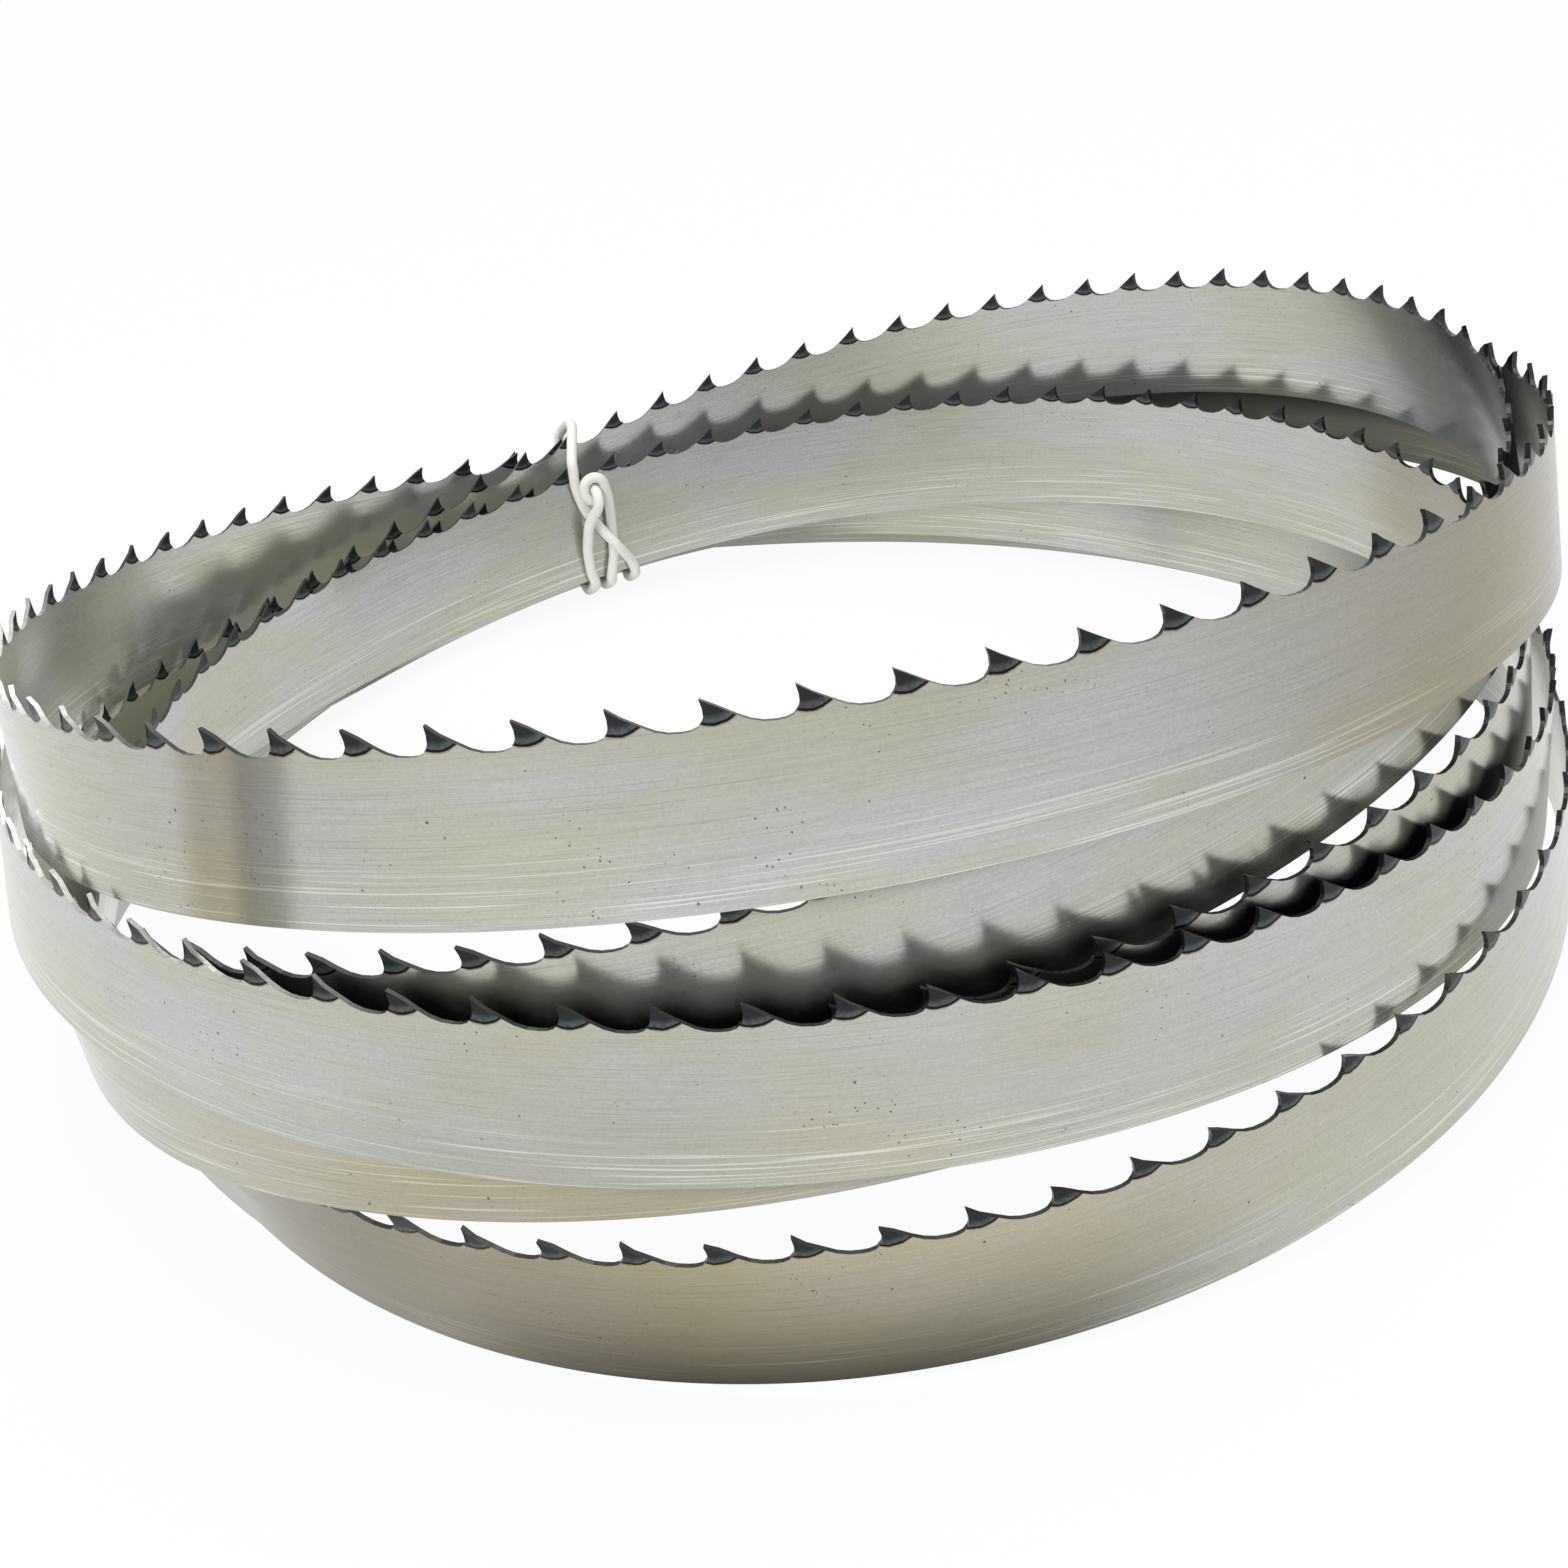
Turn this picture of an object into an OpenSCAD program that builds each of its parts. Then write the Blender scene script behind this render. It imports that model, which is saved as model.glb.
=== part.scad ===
// Band saw blade, coiled for storage.
// One endless toothed steel strip lies in five open turns, and a white cord ties the turns
// together at the back. The coil stands on a flat surface, teeth up, with its front at -Y.

/* [Strip] */
// Width of the strip, from the tooth tips to the back edge
band_w = 20; // [16:0.5:24]
// Thickness of the strip
band_t = 0.55; // [0.4:0.05:0.7]
// Distance from tooth tip to tooth tip (8.467 is 3 teeth per inch)
tooth_pitch = 8.467; // [8:0.1:13]
// Height of a tooth, from the floor of the gullet to the tip
tooth_depth = 2.9; // [2:0.1:4.5]
// How far each second tooth tip is bent out to the left or right
tooth_set = 0.2; // [0:0.05:0.3]

/* [Coil] */
// Mean radius of the turns, to the middle of the strip
coil_r = 95; // [85:1:120]
// Clearance kept free for each turn beside its thickness and set
turn_clear = 1.25; // [1.15:0.05:2]

/* [Tie] */
// Diameter of the cord
tie_d = 1.7; // [1:0.1:2]
// Clearance between the cord and the strip where it goes round
tie_clear = 0.25; // [0.2:0.05:0.4]
// Radius of the small ring in the knot, to the middle of the cord, in cord diameters
knot_ring = 1.2; // [1.2:0.1:1.6]
// Height of the knot on the innermost turn, as a share of the strip's width
knot_level = 0.8; // [0.65:0.05:0.8]

/* [Hidden] */

STEEL = "#9c9b94";
CORD_WHITE = "#eeeeea";

// One lane is the room that one turn takes, measured outwards from the axis.
lane = band_t + tooth_set + turn_clear;

// The route of the strip. Each row is one turn, and each column a place on the coil, in the
// order front, front left, left, back left, back, back right, right, front right. A row runs
// on into the next, and the last into the first, because the strip is endless.
// How far each place lies outside the mean radius, in lanes.
ROUTE_LANES = [
    [0.25, -0.5, -0.5, 3.75, 5.25, 4.5, 2.75, 0],
    [-3.5, -2.75, -2.75, 4.25, 1.25, 3, 4, 3.75],
    [1.25, -2.75, -4.5, -4.75, -1.5, -0.25, 1, 1],
    [-0.75, -0.5, -1.25, -1.75, 2, 2, 1, -2.25],
    [-2.75, -1.75, -2, -2.75, 0, 1.5, 2.75, 2]];
// How high the middle of the strip lies at each place, in strip widths.
ROUTE_LEVELS = [
    [1.975, 1.975, 1.6, 0.65, 0.625, 1.55, 2.575, 3.3],
    [3.4, 3, 2.05, 1.025, 0.5, 0.475, 0.75, 0.8],
    [0.575, 0.45, 0.95, 0.65, 0.775, 1.2, 1.625, 1.9],
    [1.825, 1.375, 0.55, 0.425, 1.1, 2.15, 2.8, 2.8],
    [2.375, 1.725, 1, 0.45, 0.725, 0.525, 1.025, 1.625]];

// The outline of one tooth, from its tip on in the direction that the teeth point:
// share of the pitch, and share of the tooth depth below the tip.
TOOTH = [[0, 0], [-0.015, 0.5], [0.06, 0.9], [0.24, 1], [0.5, 0.86], [0.66, 0.62]];
// The corner of the outline up to which the first corner of the back edge serves.
TOOTH_SPLIT = 3;
// How far along the route the first tooth's tip stands, in pitches.
TOOTH_START = 0.47;

turns = len(ROUTE_LANES);
places = len(ROUTE_LANES[0]);
place_count = turns * places;
place_angle = 2 * PI / places;
lanes = [for (row = ROUTE_LANES) each row];
levels = [for (row = ROUTE_LEVELS) each row];

function wrap(i, n) = (i % n + n) % n;

// Smooth closed curve through the neighbourhood of the places, with its slope and bend.
// The three lists are the weights of four places in a row.
function weights(t) = [pow(1 - t, 3), 3 * pow(t, 3) - 6 * t * t + 4,
    -3 * pow(t, 3) + 3 * t * t + 3 * t + 1, pow(t, 3)] / 6;
function slope_weights(t) = [-pow(1 - t, 2), 3 * t * t - 4 * t, -3 * t * t + 2 * t + 1, t * t]
    / (2 * place_angle);
function bend_weights(t) = [1 - t, 3 * t - 2, 1 - 3 * t, t] / pow(place_angle, 2);
function blend(list, i, w) = list[wrap(i - 1, place_count)] * w[0] + list[wrap(i, place_count)] * w[1]
    + list[wrap(i + 1, place_count)] * w[2] + list[wrap(i + 2, place_count)] * w[3];

// Section of the strip at a point u of the route, in turns from the front of the first turn:
// middle of the strip, direction across its width, and direction out of its outer face.
function section(u) =
    let (x = u * places, i = floor(x), t = x - i, a = 360 * u,
        w = weights(t), ws = slope_weights(t), wb = bend_weights(t),
        r = coil_r + lane * blend(lanes, i, w),
        rs = lane * blend(lanes, i, ws),
        rb = lane * blend(lanes, i, wb),
        along = [-rs * sin(a) - r * cos(a), -rs * cos(a) + r * sin(a), band_w * blend(levels, i, ws)],
        bend = [-rb * sin(a) - 2 * rs * cos(a) + r * sin(a),
            -rb * cos(a) + 2 * rs * sin(a) + r * cos(a), band_w * blend(levels, i, wb)],
        across = cross(bend, along) / norm(cross(bend, along)))
    [[-r * sin(a), -r * cos(a), band_w * blend(levels, i, w)], across,
        cross(across, along) / norm(along), norm(along)];

// Length of the route from its start to each of many even steps.
STEPS_A_TURN = 72;
steps = STEPS_A_TURN * turns;
step_turn = 1 / STEPS_A_TURN;
speeds = [for (i = [0 : steps]) section(wrap(i, steps) * step_turn)[3] * 2 * PI * step_turn];
lengths = [for (i = 0, s = 0; i <= steps;
    s = s + (speeds[i] + speeds[min(i + 1, steps)]) / 2, i = i + 1) s];
route_length = lengths[steps];
turn_at_length = [for (i = [0 : steps]) [lengths[i], i * step_turn]];
function turn_of(s) = lookup(s < 0 ? s + route_length : s >= route_length ? s - route_length : s,
    turn_at_length);

// The teeth share the length evenly, and their number is even for the set.
teeth = 2 * round(route_length / tooth_pitch / 2);
pitch = route_length / teeth;

// A point of the strip: height h from the middle, and a place out (1) or in (-1) of the faces,
// with the bend that the set gives a tooth.
function strip_point(sec, h, side, bent) =
    sec[0] + sec[1] * h + sec[2] * (side * band_t / 2 + bent * tooth_set
        * max(0, 1 - (band_w / 2 - h) / (tooth_depth / 2)));
function tooth_ring(n, k) =
    let (sec = section(turn_of((n + TOOTH_START + TOOTH[k][0]) * pitch)),
        h = band_w / 2 - TOOTH[k][1] * tooth_depth, bent = n % 2 == 0 ? 1 : -1)
    [strip_point(sec, h, 1, bent), strip_point(sec, h, -1, bent)];
// The back edge's corners lie behind the tips, so that the undercut of a tooth stays clear of them.
BACK_SHIFT = -0.5;
function back_ring(n) =
    let (sec = section(turn_of((n + TOOTH_START + BACK_SHIFT) * pitch)))
    [strip_point(sec, -band_w / 2, 1, 0), strip_point(sec, -band_w / 2, -1, 0)];

corners = len(TOOTH);
tooth_points = 2 * (corners + 1);
// Each tooth has a pair of points for each corner, outer then inner, and a pair on the back edge.
strip_points = [for (n = [0 : teeth - 1]) each concat(
    [for (k = [0 : corners - 1]) each tooth_ring(n, k)], back_ring(n))];
function top_id(n, k, side) = wrap(n + (k == corners ? 1 : 0), teeth) * tooth_points
    + 2 * (k % corners) + side;
function back_id(n, side) = wrap(n, teeth) * tooth_points + 2 * corners + side;
function quad(a, b, c, d) = [[a, b, c], [a, c, d]];
function tooth_faces(n) = concat(
    [for (k = [0 : corners - 1]) each quad(top_id(n, k, 0), top_id(n, k + 1, 0),
        top_id(n, k + 1, 1), top_id(n, k, 1))],
    quad(back_id(n, 0), back_id(n, 1), back_id(n + 1, 1), back_id(n + 1, 0)),
    [for (k = [0 : corners - 1]) let (b = k < TOOTH_SPLIT ? n : n + 1)
        [back_id(b, 0), top_id(n, k + 1, 0), top_id(n, k, 0)]],
    [for (k = [0 : corners - 1]) let (b = k < TOOTH_SPLIT ? n : n + 1)
        [back_id(b, 1), top_id(n, k, 1), top_id(n, k + 1, 1)]],
    [[back_id(n, 0), back_id(n + 1, 0), top_id(n, TOOTH_SPLIT, 0)],
        [back_id(n, 1), top_id(n, TOOTH_SPLIT, 1), back_id(n + 1, 1)]]);
strip_faces = [for (n = [0 : teeth - 1]) each tooth_faces(n)];

// The cord goes round all five turns at one place near the back.
TIE_TURN = 0.46;
// The turns that the cord touches there: the innermost, the lowest, the outermost, the highest.
INNER = 2;
LOWEST = 4;
OUTER = 0;
HIGHEST = 3;

knot_h = band_w * (knot_level - 0.5);
reach = tie_d / 2 + tie_clear;
function tie_section(turn, a) = section(TIE_TURN + turn + a * tie_d / (2 * PI * coil_r));

// Points on the cord's middle line. Sideways places and lifts off the face are in cord diameters.
function on_inner(a, h, lift) = let (s = tie_section(INNER, a))
    s[0] + s[1] * h - s[2] * (band_t / 2 + reach + lift * tie_d);
// A share of the way from the knot down to the back edge.
function down(a, share, lift) = on_inner(a, knot_h - share * (knot_h + band_w / 2), lift);
// A place near the knot, in radii of its ring.
function near(x, y, lift) = on_inner(x * knot_ring, knot_h + y * knot_ring * tie_d, lift);
function on_ring(angle) = near(cos(angle), sin(angle), 1.1);
function on_outer(a, share, lift) = let (s = tie_section(OUTER, a))
    s[0] + s[1] * band_w * (share - 0.5) + s[2] * (band_t / 2 + reach + lift * tie_d);
// Round a corner of a turn: its side (out 1, in -1), its end (teeth 1, back -1), and the angle
// of the cord from the corner, counted from outwards through upwards.
function around(turn, side, end, angle, a) = let (s = tie_section(turn, a))
    s[0] + s[1] * (end * band_w / 2 + reach * sin(angle))
        + s[2] * (side * (band_t / 2 + (end > 0 ? tooth_set : 0)) + reach * cos(angle));
function under(a) = [around(INNER, -1, -1, 185, a), around(INNER, -1, -1, 235, a),
    around(LOWEST, 0, -1, 258, a), around(OUTER, 1, -1, 300, a), around(OUTER, 1, -1, 350, a)];
function over(a) = [around(OUTER, 1, 1, 10, a), around(OUTER, 1, 1, 70, a + 0.3),
    around(HIGHEST, 1, 1, 70, a + 1.3), around(HIGHEST, -1, 1, 130, a + 1.2),
    around(INNER, -1, 1, 130, a - 1.1), around(INNER, -1, 1, 175, a - 1.2)];
function reversed(list) = [for (i = [len(list) - 1 : -1 : 0]) list[i]];

// The cord starts in the ring of the knot, goes once round the turns, crosses in front of
// itself, hooks round itself on the far side, and comes back up to end as the ring.
tie_route = concat(
    [near(0, 0.05, 0.9), near(-0.05, -0.25, 1.85), near(-0.25, -1.05, 2.25), down(-1.2, 0.28, 1.5),
        down(-1.6, 0.35, 1.25), down(-2.2, 0.63, 0.4), down(-2.3, 0.9, 0.02)],
    under(-2.15), over(-0.3),
    [near(-1.4, 0.5, 0), near(-1.3, -0.6, 0), down(-1.2, 0.25, 0), down(-0.5, 0.39, 0.15),
        down(0.1, 0.51, 0.75), down(0.75, 0.62, 1.12), down(1.45, 0.75, 0.8), down(2.1, 0.88, 0.2)],
    under(2.4),
    [on_outer(1.7, 0.3, 0), on_outer(0.6, 0.6, 0.6), on_outer(-0.8, 0.72, 1.25),
        on_outer(-2.4, 0.66, 0.7), on_outer(-2.9, 0.54, 0.6), on_outer(-1.35, 0.42, 1.25),
        on_outer(0.1, 0.28, 0.35)],
    reversed(under(-0.25)),
    [down(0.55, 0.78, 0), down(1.05, 0.47, 0), down(1.3, 0.23, 0.35), near(1.02, -0.3, 0.85)],
    [for (angle = [45, 90, 135, 180, 225, 280]) on_ring(angle)]);

function unit(v) = v / norm(v);
tie_last = len(tie_route) - 1;
tie_heading = [for (i = [0 : tie_last]) i == 0 ? unit(tie_route[1] - tie_route[0])
    : i == tie_last ? unit(tie_route[i] - tie_route[i - 1])
    : unit(unit(tie_route[i] - tie_route[i - 1]) + unit(tie_route[i + 1] - tie_route[i]))];
// A point halfway between two places, on a curve that keeps both headings.
function halfway(i) = let (a = tie_route[i], b = tie_route[i + 1], pull = min(norm(b - a), 1.5 * tie_d))
    (a + b) / 2 + (tie_heading[i] - tie_heading[i + 1]) * pull / 8;
tie_path = [for (i = [0 : tie_last]) each i == tie_last ? [tie_route[i]] : [tie_route[i], halfway(i)]];
tie_rings = len(tie_path);
tie_course = [for (i = [0 : tie_rings - 1])
    unit(tie_path[min(i + 1, tie_rings - 1)] - tie_path[max(i - 1, 0)])];

// Round rings along the path, without twist.
TIE_SIDES = 8;
function square_to(v, course) = unit(v - (v * course) * course);
tie_sideways = [for (i = 0, v = square_to([0, 1, 0.3], tie_course[0]); i < tie_rings; i = i + 1,
    v = i < tie_rings ? square_to(v, tie_course[i]) : v) v];
tie_points = [for (i = [0 : tie_rings - 1]) let (x = tie_sideways[i], y = cross(tie_course[i], x))
    for (k = [0 : TIE_SIDES - 1]) let (a = 360 * k / TIE_SIDES)
        tie_path[i] + (x * cos(a) + y * sin(a)) * tie_d / 2];
tie_faces = concat(
    [for (i = [0 : tie_rings - 2], k = [0 : TIE_SIDES - 1]) let (a = i * TIE_SIDES + k,
        b = i * TIE_SIDES + (k + 1) % TIE_SIDES)
        each quad(a, a + TIE_SIDES, b + TIE_SIDES, b)],
    [[for (k = [0 : TIE_SIDES - 1]) k],
        [for (k = [TIE_SIDES - 1 : -1 : 0]) (tie_rings - 1) * TIE_SIDES + k]]);

// The middle of the coil, seen from above, and its lowest point lie on the origin.
function low(points, axis) = min([for (p = points) p[axis]]);
function high(points, axis) = max([for (p = points) p[axis]]);
coil_shift = [-(low(strip_points, 0) + high(strip_points, 0)) / 2,
    -(low(strip_points, 1) + high(strip_points, 1)) / 2,
    -min(low(strip_points, 2), low(tie_points, 2))];

module blade() {
    color(STEEL)
        translate(coil_shift)
            polyhedron(points = strip_points, faces = strip_faces, convexity = 20);
}

module wire_tie() {
    color(CORD_WHITE)
        translate(coil_shift)
            polyhedron(points = tie_points, faces = tie_faces, convexity = 10);
}

blade();
wire_tie();
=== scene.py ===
import math

import bpy
import numpy as np
from mathutils import Matrix, Vector


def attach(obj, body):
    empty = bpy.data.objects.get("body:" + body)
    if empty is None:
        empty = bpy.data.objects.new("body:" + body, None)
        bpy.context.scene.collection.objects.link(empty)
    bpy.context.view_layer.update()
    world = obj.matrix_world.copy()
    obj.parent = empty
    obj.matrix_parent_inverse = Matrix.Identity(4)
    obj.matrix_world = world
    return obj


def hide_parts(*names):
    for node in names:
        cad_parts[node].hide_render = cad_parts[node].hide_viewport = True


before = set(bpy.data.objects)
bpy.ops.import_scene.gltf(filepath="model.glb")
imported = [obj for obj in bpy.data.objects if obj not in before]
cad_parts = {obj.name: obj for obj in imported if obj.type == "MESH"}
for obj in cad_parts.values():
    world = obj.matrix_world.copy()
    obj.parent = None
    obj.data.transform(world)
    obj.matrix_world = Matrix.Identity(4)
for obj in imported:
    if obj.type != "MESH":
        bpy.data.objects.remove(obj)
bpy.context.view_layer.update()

MM = 0.001

# Sizes of the strip and the coil, in millimetres, as in the CAD source.
BAND_W = 20.0
BAND_T = 0.55
TOOTH_PITCH = 8.467
TOOTH_DEPTH = 2.9
TOOTH_SET = 0.2
TOOTH_START = 0.47
COIL_R = 95.0
LANE = 2.0
# The route of the strip, one row a turn and eight places a turn: how far out it lies, in lanes
# from the coil's radius, and how high its middle lies, in strip widths.
ROUTE_LANES = [
    [0.25, -0.5, -0.5, 3.75, 5.25, 4.5, 2.75, 0],
    [-3.5, -2.75, -2.75, 4.25, 1.25, 3, 4, 3.75],
    [1.25, -2.75, -4.5, -4.75, -1.5, -0.25, 1, 1],
    [-0.75, -0.5, -1.25, -1.75, 2, 2, 1, -2.25],
    [-2.75, -1.75, -2, -2.75, 0, 1.5, 2.75, 2],
]
ROUTE_LEVELS = [
    [1.975, 1.975, 1.6, 0.65, 0.625, 1.55, 2.575, 3.3],
    [3.4, 3, 2.05, 1.025, 0.5, 0.475, 0.75, 0.8],
    [0.575, 0.45, 0.95, 0.65, 0.775, 1.2, 1.625, 1.9],
    [1.825, 1.375, 0.55, 0.425, 1.1, 2.15, 2.8, 2.8],
    [2.375, 1.725, 1, 0.45, 0.725, 0.525, 1.025, 1.625],
]
TURNS = len(ROUTE_LANES)
PLACES = len(ROUTE_LANES[0])
STEPS_A_TURN = 960

# The cord, as in the CAD source: sizes in millimetres, the knot's ring in cord diameters, and the
# share of a turn at which it is tied.
TIE_D = 1.7
TIE_CLEAR = 0.25
KNOT_RING = 1.2
KNOT_H = BAND_W * 0.3
TIE_TURN = 0.46
TIE_SIDES = 20
# The turns that the cord goes round, by their row in the route tables.
INNER, LOWEST, OUTER, HIGHEST = 2, 4, 0, 3
REACH = TIE_D / 2 + TIE_CLEAR

# The camera, fitted to points of the photograph, in millimetres and degrees.
CAMERA_PLACE = (0, -258.4, 169.3)
CAMERA_DOWN = 31.8
CAMERA_ROLL = -7.37
CAMERA_LENS = 50.7
CAMERA_SENSOR = 36


# The course of the strip


def spline(table, u):
    """Value, slope and bend of a closed curve through a route table, at points u in turns."""
    values = np.array(table, float).ravel()
    x = np.asarray(u, float) * PLACES
    i = np.floor(x).astype(int)
    t = x - i
    step = 2 * math.pi / PLACES
    weights = np.stack([
        (1 - t) ** 3, 3 * t**3 - 6 * t**2 + 4, -3 * t**3 + 3 * t**2 + 3 * t + 1, t**3]) / 6
    slopes = np.stack([
        -((1 - t) ** 2), 3 * t**2 - 4 * t, -3 * t**2 + 2 * t + 1, t**2]) / (2 * step)
    bends = np.stack([1 - t, 3 * t - 2, 1 - 3 * t, t]) / step**2
    near = np.stack([values[(i + k) % len(values)] for k in (-1, 0, 1, 2)])
    return (near * weights).sum(0), (near * slopes).sum(0), (near * bends).sum(0)


def unit(v):
    return v / np.linalg.norm(v, axis=-1, keepdims=True)


def sections(u):
    """Middle of the strip, direction across its width, direction out of it, and speed."""
    a = 2 * math.pi * np.asarray(u, float)
    s, c = np.sin(a), np.cos(a)
    r, r1, r2 = spline(ROUTE_LANES, u)
    z, z1, z2 = spline(ROUTE_LEVELS, u)
    r, r1, r2 = COIL_R + LANE * r, LANE * r1, LANE * r2
    z, z1, z2 = BAND_W * z, BAND_W * z1, BAND_W * z2
    along = np.stack([-r1 * s - r * c, -r1 * c + r * s, z1], -1)
    bend = np.stack([-r2 * s - 2 * r1 * c + r * s, -r2 * c + 2 * r1 * s + r * c, z2], -1)
    across = unit(np.cross(bend, along))
    out = unit(np.cross(across, along))
    return np.stack([-r * s, -r * c, z], -1), across, out, np.linalg.norm(along, axis=-1)


# Length along the strip at each step of the route, and from it the teeth that fit, an even number.
STEPS = np.linspace(0, TURNS, STEPS_A_TURN * TURNS + 1)
SPEEDS = sections(STEPS)[3] * 2 * math.pi * STEPS[1]
LENGTHS = np.concatenate([[0], np.cumsum((SPEEDS[1:] + SPEEDS[:-1]) / 2)])
LOOP = LENGTHS[-1]
TEETH = 2 * round(LOOP / TOOTH_PITCH / 2)
PITCH = LOOP / TEETH


def turn_of(s):
    """Place in turns of a length along the strip."""
    return np.interp(np.mod(s, LOOP), LENGTHS, STEPS)


# The toothed strip: one outline point of the tooth over one point of the line below the gullets.
# Each row is share of the pitch, share of the tooth depth, and the lower point's share of pitch.
OUTLINE = [
    (0, 0, -0.12), (-0.018, 0.31, -0.07), (-0.014, 0.58, -0.03), (0.005, 0.71, 0.01),
    (0.06, 0.9, 0.06), (0.14, 0.98, 0.13), (0.235, 1, 0.235), (0.375, 0.97, 0.375),
    (0.51, 0.85, 0.51), (0.65, 0.63, 0.65), (0.84, 0.3, 0.79)]
# The line below the gullets, in tooth depths, and the rows from there to the back edge.
SHOULDER = 1.04
LOWER_ROWS = (0.0, 0.5, 1.0)
# The kinds of face, which are also the places of their materials.
SIDE, GULLETS, BACK = 0, 1, 2


def strip_mesh():
    """The strip as one closed mesh: points, normals, marks (tooth, height), faces and their kinds."""
    shape = np.array(OUTLINE, float)
    tooth = np.arange(TEETH)[:, None]
    bent = np.where(tooth % 2 == 0, 1.0, -1.0)
    top_s = (tooth + shape[:, 0]) * PITCH
    low_s = (tooth + shape[:, 2]) * PITCH
    depth = np.broadcast_to(shape[:, 1] * TOOTH_DEPTH, top_s.shape)
    shoulder = SHOULDER * TOOTH_DEPTH
    rows = [(top_s, depth, bent * TOOTH_SET * np.maximum(0, 1 - depth / (TOOTH_DEPTH / 2)))]
    for share in LOWER_ROWS:
        below = shoulder + (BAND_W - shoulder) * share
        rows.append((low_s, np.full(low_s.shape, below), np.zeros(low_s.shape)))
    total = TEETH * len(OUTLINE)
    points, normals, marks = [], [], []
    for s, below, shift in rows:
        s, below, shift = s.ravel(), below.ravel(), shift.ravel()
        centre, across, out, _ = sections(turn_of(s + TOOTH_START * PITCH))
        base = centre + across * (BAND_W / 2 - below)[:, None]
        for side in (1, -1):
            points.append(base + out * (side * BAND_T / 2 + shift)[:, None])
            normals.append(out * side)
            marks.append(np.stack([s / PITCH, BAND_W - below], -1))
    points = np.concatenate(points)
    normals = np.concatenate(normals)
    marks = np.concatenate(marks)
    here = np.arange(total)
    then = np.roll(here, -1)
    faces, kinds = [], []

    def add(a, b, c, d, kind):
        faces.append(np.stack([a, b, c, d], -1))
        kinds.append(np.full(len(a), kind))

    last = len(rows) - 1
    for row in range(last):
        for side in (0, 1):
            up, down = (2 * row + side) * total, (2 * row + 2 + side) * total
            corners = (up + here, up + then, down + then, down + here)
            add(*(corners if side == 0 else corners[::-1]), SIDE)
    add(here, total + here, total + then, then, GULLETS)
    outer, inner = 2 * last * total, (2 * last + 1) * total
    add(outer + here, outer + then, inner + then, inner + here, BACK)
    return points, normals, marks, np.concatenate(faces), np.concatenate(kinds)


# Stretches of the strip, partly stains, partly painted reflections, highlights and shade: the tooth in
# their middle, how many teeth they reach to each side, how bright they are at the back edge and at
# the teeth, and their tint.
BROWN = (1.03, 1.0, 0.94)
GREY = (1.0, 1.0, 1.0)
SLATE = (0.93, 1.02, 1.02)
STAINS_AND_PAINTED_LIGHT = [
    (2.5, 3, 0.94, 0.98, GREY), (19, 5, 1.2, 1.2, GREY), (48, 7, 0.7, 0.8, GREY),
    (59.6, 2.2, 0.82, 0.82, GREY), (61.5, 7, 0.79, 0.79, BROWN), (72, 5, 1, 0.95, GREY),
    (79.65, 0.42, 0.76, 0.77, GREY), (80.35, 0.6, 0.85, 0.84, BROWN), (80.5, 3, 0.96, 0.96, GREY),
    (96.5, 6, 1.22, 1.2, GREY), (112, 6, 0.85, 0.88, GREY), (126, 3, 0.75, 0.85, GREY),
    (147.2, 4.6, 0.4, 1, BROWN), (153.5, 6, 0.8, 0.82, BROWN), (155, 2.8, 0.78, 0.84, GREY),
    (165, 1.2, 0.78, 1, GREY), (180.5, 6.5, 0.98, 0.85, GREY), (196.6, 2.2, 0.9, 0.8, BROWN),
    (218.5, 3.5, 0.88, 0.97, BROWN), (247, 4, 1.2, 1.15, GREY), (252, 4, 0.97, 0.88, GREY),
    (270.3, 1.5, 0.7, 0.5, GREY), (271.5, 6, 0.5, 0.36, SLATE), (276, 2, 0.88, 0.86, BROWN),
    (306, 8, 1.22, 1.2, GREY), (312, 2, 0.8, 0.8, GREY), (321, 2.4, 0.78, 0.78, GREY),
    (337, 3, 0.68, 0.68, GREY)]
# How far the spots, stains and painted light alike, move along the strip from its back edge to its
# teeth, in teeth.
SPOT_LEAN = -0.5
# Stretches whose gullet edges get a painted highlight where they catch the light: the tooth in
# their middle and their reach.
PAINTED_EDGE_HIGHLIGHTS = [(88, 5), (12, 6), (302, 4)]
# Stretches that get near-black painted shade where the next turn lies close in front of them.
PAINTED_CONTACT_SHADE = [(47, 9), (207, 11), (287, 10)]
# The power that turns a brightness as it is seen into light.
DISPLAY = 2.2


def stains_and_painted_light(tooth, height):
    """Colour factor with stains and painted light, painted edge highlight share and painted shade share
    of points, from their tooth and share of the width.
    """
    def weight(middle, reach):
        away = (tooth - middle - SPOT_LEAN * height + TEETH / 2) % TEETH - TEETH / 2
        return np.exp(-(away / reach) ** 4)

    colour = np.ones((len(tooth), 3))
    for middle, reach, back, top, tint in STAINS_AND_PAINTED_LIGHT:
        deep = (back + (top - back) * np.sqrt(np.clip(height, 0, 1))) ** DISPLAY
        full = deep[:, None] * np.array(tint) ** DISPLAY
        colour *= 1 + weight(middle, reach)[:, None] * (full - 1)
    # Painted highlights on gullet edges, and painted shade where the next turn lies close.
    edge_highlight = np.max([weight(*place) for place in PAINTED_EDGE_HIGHLIGHTS], axis=0)
    contact_shade = np.max([weight(*place) for place in PAINTED_CONTACT_SHADE], axis=0)
    return colour, edge_highlight, contact_shade


def middle_shift(points):
    """The move that puts the coil's middle over the origin and its lowest point on the floor."""
    low, high = points.min(0), points.max(0)
    return np.array([-(low[0] + high[0]) / 2, -(low[1] + high[1]) / 2, -low[2]])


def new_object(name, mesh):
    obj = bpy.data.objects.new(name, mesh)
    bpy.context.scene.collection.objects.link(obj)
    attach(obj, "root")
    return obj


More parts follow.
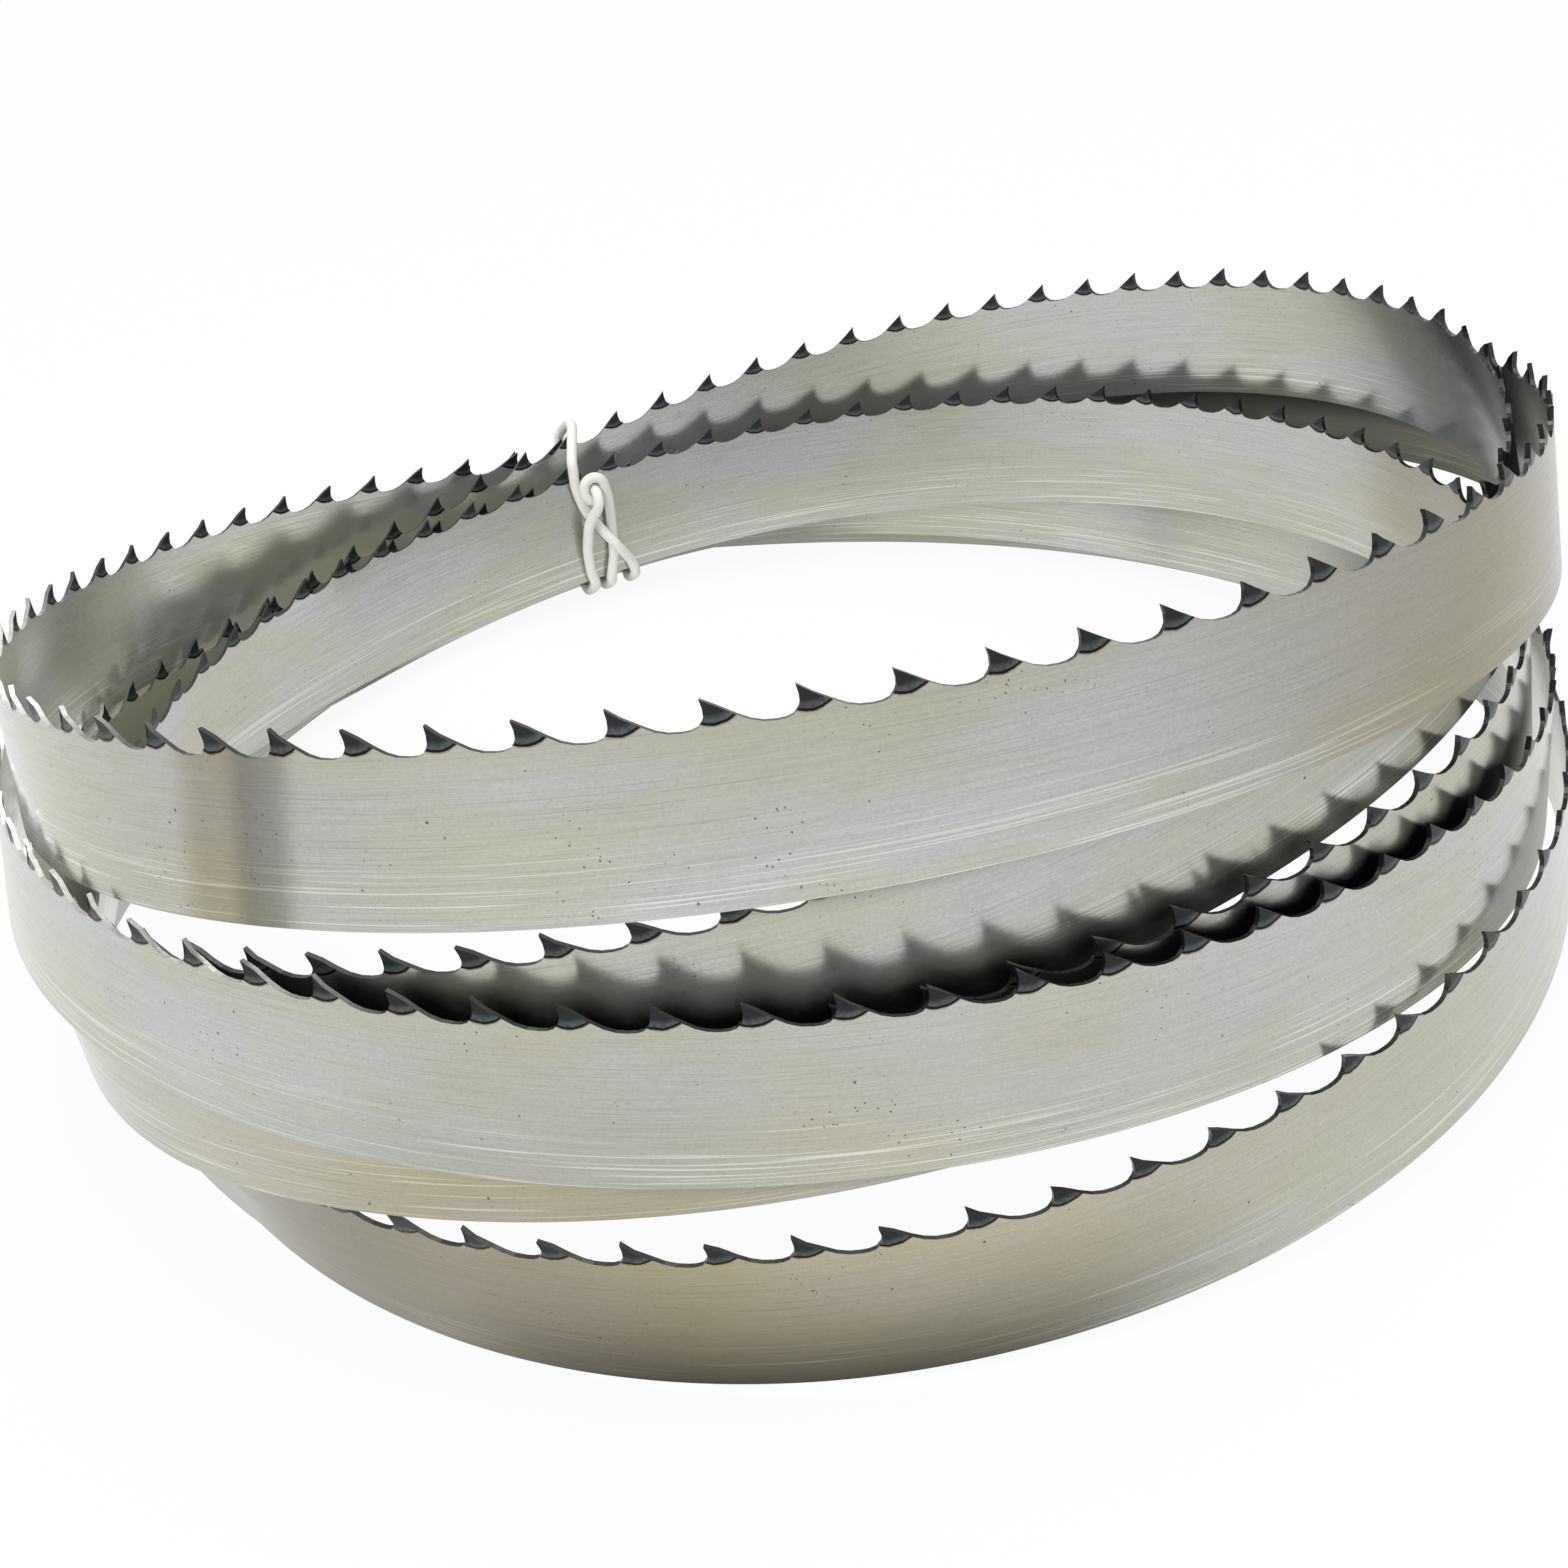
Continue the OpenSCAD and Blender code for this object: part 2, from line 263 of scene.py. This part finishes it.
def build_blade():
    """The strip, with its marks as a UV map, its stains and painted light as attributes, and its move.
    """
    points, normals, marks, faces, kinds = strip_mesh()
    shift = middle_shift(points)
    mesh = bpy.data.meshes.new("blade_strip")
    mesh.from_pydata(((points + shift) * MM).tolist(), [], faces.tolist())
    mesh.polygons.foreach_set("material_index", kinds.astype(np.int32))
    mesh.polygons.foreach_set("use_smooth", np.ones(len(faces), bool))
    order = faces.ravel()
    coords = marks[order]
    # The last tooth runs on to the first, so its marks count on past the end.
    corners = coords[:, 0].reshape(-1, 4)
    wrapped = corners.max(1) - corners.min(1) > TEETH / 2
    coords[np.repeat(wrapped, 4) & (coords[:, 0] < TEETH / 2), 0] += TEETH
    uv = mesh.uv_layers.new(name="Strip")
    uv.data.foreach_set("uv", coords.ravel().astype(np.float32))
    stain_and_painted_light, edge_highlight, contact_shade = stains_and_painted_light(marks[:, 0], marks[:, 1] / BAND_W)
    colour = mesh.attributes.new("stain_and_painted_light", "FLOAT_COLOR", "POINT")
    colour.data.foreach_set("color", np.c_[stain_and_painted_light, np.ones(len(stain_and_painted_light))].ravel().astype(np.float32))
    # Painted edge highlights and painted shade, kept as attributes.
    for name, values in (("edge_highlight", edge_highlight), ("contact_shade", contact_shade)):
        share = mesh.attributes.new(name, "FLOAT", "POINT")
        share.data.foreach_set("value", values.astype(np.float32))
    mesh.update()
    # The sides are shaded smooth, the gullets and the back edge flat.
    flat = np.repeat(np.array([p.normal for p in mesh.polygons]), 4, 0)
    on_side = np.repeat(kinds == SIDE, 4)[:, None]
    mesh.normals_split_custom_set(np.where(on_side, normals[order], flat).tolist())
    blade = new_object("blade_strip", mesh)
    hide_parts("blade")
    return blade, shift


# The cord


def tie_section(turn, a):
    """The strip's section at the tie on one turn, a cord diameters along."""
    place = TIE_TURN + turn + a * TIE_D / (2 * math.pi * COIL_R)
    return sections(np.array(place))[:3]


def on_inner(a, h, lift):
    """A point of the cord on the inside of the coil, at height h and lifted by cord diameters."""
    centre, across, out = tie_section(INNER, a)
    return centre + across * h - out * (BAND_T / 2 + REACH + lift * TIE_D)


def down(a, share, lift):
    """A point on the inside, at a share of the way from the knot down to the back edge."""
    return on_inner(a, KNOT_H - share * (KNOT_H + BAND_W / 2), lift)


def near(x, y, lift):
    """A point on the inside, near the knot, in radii of its ring."""
    return on_inner(x * KNOT_RING, KNOT_H + y * KNOT_RING * TIE_D, lift)


def on_ring(angle):
    return near(math.cos(math.radians(angle)), math.sin(math.radians(angle)), 1.1)


def on_outer(a, share, lift):
    """A point on the outside of the coil, at a share of the strip's width."""
    centre, across, out = tie_section(OUTER, a)
    return centre + across * BAND_W * (share - 0.5) + out * (BAND_T / 2 + REACH + lift * TIE_D)


def around(turn, side, end, angle, a):
    """A point round an edge of a turn: the back edge with end -1, the teeth with end 1."""
    centre, across, out = tie_section(turn, a)
    c, s = math.cos(math.radians(angle)), math.sin(math.radians(angle))
    thick = side * (BAND_T / 2 + (TOOTH_SET if end > 0 else 0))
    return centre + across * (end * BAND_W / 2 + REACH * s) + out * (thick + REACH * c)


def under(a):
    return [around(INNER, -1, -1, 185, a), around(INNER, -1, -1, 235, a),
            around(LOWEST, 0, -1, 258, a), around(OUTER, 1, -1, 300, a),
            around(OUTER, 1, -1, 350, a)]


def over(a):
    return [around(OUTER, 1, 1, 10, a), around(OUTER, 1, 1, 70, a + 0.3),
            around(HIGHEST, 1, 1, 70, a + 1.3), around(HIGHEST, -1, 1, 130, a + 1.2),
            around(INNER, -1, 1, 130, a - 1.1), around(INNER, -1, 1, 175, a - 1.2)]


def tie_route():
    """The cord's middle line, from the knot round the turns and back, as in the CAD source."""
    route = [near(0, 0.05, 0.9), near(-0.05, -0.25, 1.85), near(-0.25, -1.05, 2.25),
             down(-1.2, 0.28, 1.5), down(-1.6, 0.35, 1.25), down(-2.2, 0.63, 0.4),
             down(-2.3, 0.9, 0.02)]
    route += under(-2.15) + over(-0.3)
    route += [near(-1.4, 0.5, 0), near(-1.3, -0.6, 0), down(-1.2, 0.25, 0), down(-0.5, 0.39, 0.15),
              down(0.1, 0.51, 0.75), down(0.75, 0.62, 1.12), down(1.45, 0.75, 0.8),
              down(2.1, 0.88, 0.2)]
    route += under(2.4)
    route += [on_outer(1.7, 0.3, 0), on_outer(0.6, 0.6, 0.6), on_outer(-0.8, 0.72, 1.25),
              on_outer(-2.4, 0.66, 0.7), on_outer(-2.9, 0.54, 0.6), on_outer(-1.35, 0.42, 1.25),
              on_outer(0.1, 0.28, 0.35)]
    route += under(-0.25)[::-1]
    route += [down(0.55, 0.78, 0), down(1.05, 0.47, 0), down(1.3, 0.23, 0.35),
              near(1.02, -0.3, 0.85)]
    route += [on_ring(angle) for angle in (45, 90, 135, 180, 225, 280)]
    return np.array(route)


def smooth_path(route, parts=6):
    """A curve through the route that keeps to it closely on long stretches."""
    legs = unit(np.diff(route, axis=0))
    headings = unit(np.concatenate([legs[:1], legs[:-1] + legs[1:], legs[-1:]]))
    path = []
    for a, b, p, q in zip(route[:-1], route[1:], headings[:-1], headings[1:]):
        pull = min(np.linalg.norm(b - a), 1.5 * TIE_D)
        for t in np.arange(parts) / parts:
            path.append((2 * t**3 - 3 * t**2 + 1) * a + (t**3 - 2 * t**2 + t) * pull * p
                        + (3 * t**2 - 2 * t**3) * b + (t**3 - t**2) * pull * q)
    path.append(route[-1])
    return np.array(path)


def build_tie(shift):
    """The cord as one closed round tube along its route."""
    path = (smooth_path(tie_route()) + shift) * MM
    course = unit(np.gradient(path, axis=0))
    turned = np.arange(TIE_SIDES) * 2 * math.pi / TIE_SIDES
    c, s = np.cos(turned)[:, None], np.sin(turned)[:, None]
    # Any direction that isn't along the cord's start will do to begin with.
    side = np.array([0, 1, 0.3])
    points = []
    for centre, ahead in zip(path, course):
        side = unit(side - side.dot(ahead) * ahead)
        other = np.cross(ahead, side)
        points.append(centre + (c * side + s * other) * TIE_D / 2 * MM)
    last_ring = (len(path) - 1) * TIE_SIDES
    here = np.arange(last_ring)
    then = here - here % TIE_SIDES + (here + 1) % TIE_SIDES
    faces = np.stack([here, then, then + TIE_SIDES, here + TIE_SIDES], -1).tolist()
    faces += [list(range(TIE_SIDES))[::-1], list(range(last_ring, last_ring + TIE_SIDES))]
    mesh = bpy.data.meshes.new("cord_tie")
    mesh.from_pydata(np.concatenate(points).tolist(), [], faces)
    mesh.polygons.foreach_set("use_smooth", [True] * (len(faces) - 2) + [False] * 2)
    mesh.update()
    tie = new_object("cord_tie", mesh)
    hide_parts("wire_tie")
    return tie


# Materials

# The curve under a dark tooth tip, in tooth pitches: how far its middle lies before the tooth's
# mark, how deep it reaches there, how fast it bends up to both sides and how uneven it is.
TIP_BEFORE = 0.12
TIP_DEPTH = 0.284
TIP_BEND = 1.55
TIP_WOBBLE = 0.03
# Painted shade darkens the steel where another turn lies nearer than this, in metres.
SHADE_REACH = 0.005
SHADE_SAMPLES = 8
SCRATCH_DEPTH = 0.00003


class Nodes:
    """Short calls for building a material's node tree."""

    def __init__(self, name):
        self.material = bpy.data.materials.new(name)
        self.material.use_nodes = True
        self.tree = self.material.node_tree
        self.shader = self.tree.nodes["Principled BSDF"]

    def put(self, socket, value):
        if isinstance(value, bpy.types.NodeSocket):
            self.tree.links.new(value, socket)
        else:
            socket.default_value = value

    def math(self, operation, *values):
        node = self.tree.nodes.new("ShaderNodeMath")
        node.operation = operation
        for socket, value in zip(node.inputs, values):
            self.put(socket, value)
        return node.outputs[0]

    def attribute(self, name, output):
        node = self.tree.nodes.new("ShaderNodeAttribute")
        node.attribute_name = name
        return node.outputs[output]

    def ramp(self, value, low, high, to_low=0.0, to_high=1.0):
        """A smooth step from to_low to to_high while the value goes from low to high."""
        node = self.tree.nodes.new("ShaderNodeMapRange")
        node.interpolation_type = "SMOOTHSTEP"
        for socket, v in zip(node.inputs, (value, low, high, to_low, to_high)):
            self.put(socket, v)
        return node.outputs[0]

    def vector(self, x, y, z=0.0):
        node = self.tree.nodes.new("ShaderNodeCombineXYZ")
        for socket, value in zip(node.inputs, (x, y, z)):
            self.put(socket, value)
        return node.outputs[0]

    def noise(self, vector, scale=1.0, detail=3.0, roughness=0.5):
        node = self.tree.nodes.new("ShaderNodeTexNoise")
        self.put(node.inputs["Vector"], vector)
        node.inputs["Scale"].default_value = scale
        node.inputs["Detail"].default_value = detail
        node.inputs["Roughness"].default_value = roughness
        return node.outputs["Fac"]

    def mix(self, share, a, b, blend="MIX"):
        node = self.tree.nodes.new("ShaderNodeMix")
        node.data_type = "RGBA"
        node.blend_type = blend
        # The node's colour sockets come after those for numbers and vectors.
        for place, value in ((0, share), (6, a), (7, b)):
            self.put(node.inputs[place], value)
        return node.outputs[2]

    def bump(self, height, strength, distance):
        node = self.tree.nodes.new("ShaderNodeBump")
        node.inputs["Strength"].default_value = strength
        node.inputs["Distance"].default_value = distance
        self.put(node.inputs["Height"], height)
        self.put(self.shader.inputs["Normal"], node.outputs["Normal"])


def rgb(r, g, b):
    """A colour as a screen shows it, from 0 to 255, turned to linear light."""
    def linear(v):
        v /= 255
        return v / 12.92 if v <= 0.04045 else ((v + 0.055) / 1.055) ** 2.4
    return (linear(r), linear(g), linear(b), 1.0)


def worn_steel(n, y, stretched, fine, grind, grain):
    """Colour of the steel: patches, brush lines, bright grind lines low down, stains with painted
    reflections, highlights and shade, and painted shade between turns.
    """
    patches = n.noise(stretched(0.035, 0.09), detail=4)
    tone = n.noise(stretched(0.008, 0.02, 7.3), detail=2)
    streak = n.noise(stretched(0.05, 10, 940), detail=2)
    base = n.mix(n.ramp(patches, 0.36, 0.64), rgb(199, 200, 182), rgb(202, 204, 206))
    base = n.mix(n.ramp(tone, 0.42, 0.62, 0, 0.4), base, rgb(190, 184, 165))
    base = n.mix(n.ramp(fine, 0.3, 0.72, 0, 0.3), base, rgb(152, 154, 146))
    base = n.mix(n.ramp(grain, 0.32, 0.7, 0, 0.3), base, rgb(160, 161, 150))
    base = n.mix(n.ramp(streak, 0.52, 0.72, 0, 0.35), base, rgb(140, 142, 134))
    low = n.math("MULTIPLY", n.ramp(grind, 0.57, 0.66), n.ramp(y, 9, 3))
    base = n.mix(n.math("MULTIPLY", low, 0.7), base, rgb(236, 236, 228))
    # Stains, with painted reflections, highlights and shade along some stretches.
    base = n.mix(1.0, base, n.attribute("stain_and_painted_light", "Color"), blend="MULTIPLY")
    # Painted shade: near-black where another turn lies close in front, over the listed stretches.
    crevice = n.tree.nodes.new("ShaderNodeAmbientOcclusion")
    crevice.samples = SHADE_SAMPLES
    crevice.inputs["Distance"].default_value = SHADE_REACH
    near_a_turn = n.ramp(crevice.outputs["AO"], 0.62, 0.86, 1, 0)
    painted_shade = n.math("MULTIPLY", near_a_turn, n.attribute("contact_shade", "Fac"))
    return n.mix(painted_shade, base, rgb(22, 25, 24))


def pitted_steel(n, base, along):
    """Clusters of small dark pits, in two sizes."""
    spots = []
    for scale, reach, patch in ((1.1, 0.16, 0.09), (0.45, 0.1, 0.16)):
        pits = n.tree.nodes.new("ShaderNodeTexVoronoi")
        pits.inputs["Scale"].default_value = scale
        n.put(pits.inputs["Vector"], along)
        spot = n.ramp(pits.outputs["Distance"], reach * 0.4, reach, 1, 0)
        rare = n.ramp(n.noise(along, scale=patch), 0.54, 0.62)
        spots.append(n.math("MULTIPLY", spot, rare))
    pitted = n.math("MULTIPLY", n.math("MAXIMUM", *spots), 0.85)
    return n.mix(pitted, base, rgb(62, 60, 55))


def dark_tips(n, base, x, y, stretched, grain):
    """Dark hardened tips with a black line and a brown heat fringe under them, and their share."""
    # Depth below the tip and place along the tooth, both in tooth pitches.
    phase = n.math("SUBTRACT", n.math("FRACT", n.math("ADD", x, 0.5)), 0.5)
    below = n.math("DIVIDE", n.math("SUBTRACT", BAND_W, y), PITCH)
    arc = n.math("ADD", phase, TIP_BEFORE)
    rise = n.math("MULTIPLY", TIP_BEND, n.math("MULTIPLY", arc, arc))
    edge = n.math("SUBTRACT", TIP_DEPTH, rise)
    uneven = n.math("SUBTRACT", n.noise(stretched(1, 1), scale=1.1), 0.5)
    edge = n.math("ADD", edge, n.math("MULTIPLY", uneven, TIP_WOBBLE))
    into = n.math("SUBTRACT", edge, below)
    warm = n.mix(n.ramp(into, -0.05, -0.015), base, rgb(120, 98, 70))
    fringe = n.math("MULTIPLY", n.ramp(into, -0.085, -0.02), 0.7)
    base = n.mix(fringe, base, warm)
    tint = n.ramp(n.noise(stretched(0.03, 0, 5)), 0.42, 0.58)
    light = n.mix(tint, rgb(90, 94, 92), rgb(86, 95, 98))
    tip = n.mix(n.ramp(into, 0.03, 0.12), light, rgb(38, 42, 43))
    tip = n.mix(n.ramp(grain, 0.35, 0.68, 0, 0.6), tip, rgb(42, 46, 47))
    hard = n.ramp(into, -0.004, 0.006)
    line = n.ramp(n.math("ABSOLUTE", n.math("ADD", into, 0.003)), 0.01, 0.024, 1, 0)
    return n.mix(line, n.mix(hard, base, tip), rgb(14, 15, 14)), hard


def steel_face():
    """Satin steel with brush lines along the strip and dark hardened tooth tips."""
    n = Nodes("steel_face")
    uv = n.tree.nodes.new("ShaderNodeUVMap")
    uv.uv_map = "Strip"
    split = n.tree.nodes.new("ShaderNodeSeparateXYZ")
    n.put(split.inputs[0], uv.outputs[0])
    x, y = split.outputs[0], split.outputs[1]

    # The strip's length is laid round a circle, so that the patterns close on themselves.
    turned = n.math("MULTIPLY", x, 2 * math.pi / TEETH)
    radius = LOOP / (2 * math.pi)
    circle = [n.math("MULTIPLY", n.math(part, turned), radius) for part in ("COSINE", "SINE")]

    def stretched(share, across, start=0.0):
        """A place for noise, with lengths along the strip and across it scaled on their own."""
        ends = [n.math("MULTIPLY", part, share) for part in circle]
        return n.vector(*ends, n.math("ADD", n.math("MULTIPLY", y, across), start))

    fine = n.noise(stretched(0.12, 7), detail=4, roughness=0.7)
    grind = n.noise(stretched(0.03, 4.5, 310), detail=3)
    grain = n.noise(stretched(1, 1), scale=2.6, detail=3, roughness=0.7)
    base = worn_steel(n, y, stretched, fine, grind, grain)
    base = pitted_steel(n, base, n.vector(n.math("MULTIPLY", x, PITCH), y))
    base, hard = dark_tips(n, base, x, y, stretched, grain)
    n.put(n.shader.inputs["Base Color"], base)
    n.shader.inputs["Metallic"].default_value = 0.75
    n.shader.inputs["Anisotropic"].default_value = 0.5
    n.shader.inputs["Anisotropic Rotation"].default_value = 0.25
    tangent = n.tree.nodes.new("ShaderNodeTangent")
    tangent.direction_type = "UV_MAP"
    tangent.uv_map = "Strip"
    n.put(n.shader.inputs["Tangent"], tangent.outputs[0])
    rough = n.ramp(fine, 0.3, 0.75, 0.15, 0.25)
    n.put(n.shader.inputs["Roughness"], n.math("ADD", rough, n.math("MULTIPLY", hard, 0.15)))
    n.bump(n.math("ADD", fine, n.math("MULTIPLY", grind, 0.6)), 0.2, SCRATCH_DEPTH)
    return n.material


def steel_edge(name, colour, bright, rough):
    """The ground gullets and the back edge: fine grain, and a painted highlight where their edges catch
    the light.
    """
    n = Nodes(name)
    place = n.tree.nodes.new("ShaderNodeTexCoord").outputs["Object"]
    grain = n.noise(place, scale=1500)
    # Painted highlight on the gullet edges, where they catch the light.
    base = n.mix(n.attribute("edge_highlight", "Fac"), rgb(*colour), rgb(*bright))
    base = n.mix(n.ramp(grain, 0.3, 0.7, 0, 0.3), base, rgb(60, 60, 58))
    n.put(n.shader.inputs["Base Color"], base)
    n.shader.inputs["Metallic"].default_value = 0.85
    n.put(n.shader.inputs["Roughness"], n.ramp(grain, 0.3, 0.7, rough - 0.05, rough + 0.05))
    n.bump(grain, 0.2, SCRATCH_DEPTH)
    return n.material


def cord_plastic():
    """Soft off-white cord with a faint mottle and small lengthwise creases."""
    n = Nodes("cord_white")
    place = n.tree.nodes.new("ShaderNodeTexCoord").outputs["Object"]
    mottle = n.noise(place, scale=500, detail=4)
    n.put(n.shader.inputs["Base Color"], n.mix(mottle, rgb(232, 231, 222), rgb(247, 247, 242)))
    n.put(n.shader.inputs["Roughness"], n.ramp(mottle, 0.3, 0.7, 0.5, 0.62))
    n.bump(n.noise(place, scale=2500, detail=3), 0.3, 0.0001)
    return n.material


# Stage, light and camera


FLOOR_HALF = 4.0
# How much of the floor's own shading gives way to plain white; the rest keeps the shadow.
FLOOR_WHITE = 0.92


def background_share(tree):
    """1 for rays that should see the plain white background."""
    rays = tree.nodes.new("ShaderNodeLightPath")
    share = rays.outputs["Is Camera Ray"]
    for name in ("Is Glossy Ray", "Is Transmission Ray"):
        either = tree.nodes.new("ShaderNodeMath")
        either.operation = "MAXIMUM"
        tree.links.new(share, either.inputs[0])
        tree.links.new(rays.outputs[name], either.inputs[1])
        share = either.outputs[0]
    return share


def build_world():
    world = bpy.data.worlds.new("studio")
    bpy.context.scene.world = world
    world.use_nodes = True
    tree = world.node_tree
    plain = tree.nodes["Background"]
    plain.inputs["Color"].default_value = (0.5, 0.5, 0.5, 1)
    white = tree.nodes.new("ShaderNodeBackground")
    white.inputs["Color"].default_value = (1, 1, 1, 1)
    mix = tree.nodes.new("ShaderNodeMixShader")
    tree.links.new(background_share(tree), mix.inputs[0])
    tree.links.new(plain.outputs[0], mix.inputs[1])
    tree.links.new(white.outputs[0], mix.inputs[2])
    tree.links.new(mix.outputs[0], tree.nodes["World Output"].inputs[0])


def build_floor():
    mesh = bpy.data.meshes.new("floor")
    corners = [(x * FLOOR_HALF, y * FLOOR_HALF, 0) for x, y in ((-1, -1), (1, -1), (1, 1), (-1, 1))]
    mesh.from_pydata(corners, [], [(0, 1, 2, 3)])
    floor = bpy.data.objects.new("floor", mesh)
    bpy.context.scene.collection.objects.link(floor)
    n = Nodes("floor_white")
    n.shader.inputs["Base Color"].default_value = (0.85, 0.85, 0.85, 1)
    n.shader.inputs["Roughness"].default_value = 0.9
    glow = n.tree.nodes.new("ShaderNodeEmission")
    mix = n.tree.nodes.new("ShaderNodeMixShader")
    n.put(mix.inputs[0], n.math("MULTIPLY", background_share(n.tree), FLOOR_WHITE))
    n.put(mix.inputs[1], n.shader.outputs[0])
    n.put(mix.inputs[2], glow.outputs[0])
    n.put(n.tree.nodes["Material Output"].inputs[0], mix.outputs[0])
    mesh.materials.append(n.material)


def add_lamp(name, place, target, size, watts):
    light = bpy.data.lights.new(name, "AREA")
    light.size = size
    light.energy = watts
    lamp = bpy.data.objects.new(name, light)
    lamp.location = place
    lamp.rotation_euler = (Vector(target) - Vector(place)).to_track_quat("-Z", "Y").to_euler()
    bpy.context.scene.collection.objects.link(lamp)


def build_lights():
    middle = (0, 0, 0.04)
    add_lamp("key", (-0.5, -0.7, 0.9), middle, 0.6, 7)
    add_lamp("top", (0.2, 0.2, 1.1), middle, 0.9, 6)


def build_camera():
    camera = bpy.data.objects.new("camera", bpy.data.cameras.new("camera"))
    camera.data.sensor_width = CAMERA_SENSOR
    camera.data.lens = CAMERA_LENS
    camera.data.clip_start = 0.01
    down_angle, roll = math.radians(CAMERA_DOWN), math.radians(CAMERA_ROLL)
    forward = Vector((0, math.cos(down_angle), -math.sin(down_angle)))
    right = Vector((1, 0, 0))
    above = right.cross(forward)
    turned_right = right * math.cos(roll) + above * math.sin(roll)
    turned_up = above * math.cos(roll) - right * math.sin(roll)
    turn = Matrix((turned_right, turned_up, -forward)).transposed()
    camera.matrix_world = Matrix.Translation(Vector(CAMERA_PLACE) * MM) @ turn.to_4x4()
    bpy.context.scene.collection.objects.link(camera)
    bpy.context.scene.camera = camera


def main():
    bpy.context.scene.view_settings.view_transform = "Standard"
    build_camera()
    blade, shift = build_blade()
    # In the order of SIDE, GULLETS and BACK.
    blade.data.materials.append(steel_face())
    # Each edge's second colour is its painted highlight.
    blade.data.materials.append(steel_edge("steel_gullets", (62, 64, 61), (232, 232, 226), 0.3))
    blade.data.materials.append(steel_edge("steel_back", (128, 128, 120), (190, 190, 182), 0.38))
    tie = build_tie(shift)
    tie.data.materials.append(cord_plastic())
    build_floor()
    build_world()
    build_lights()


main()
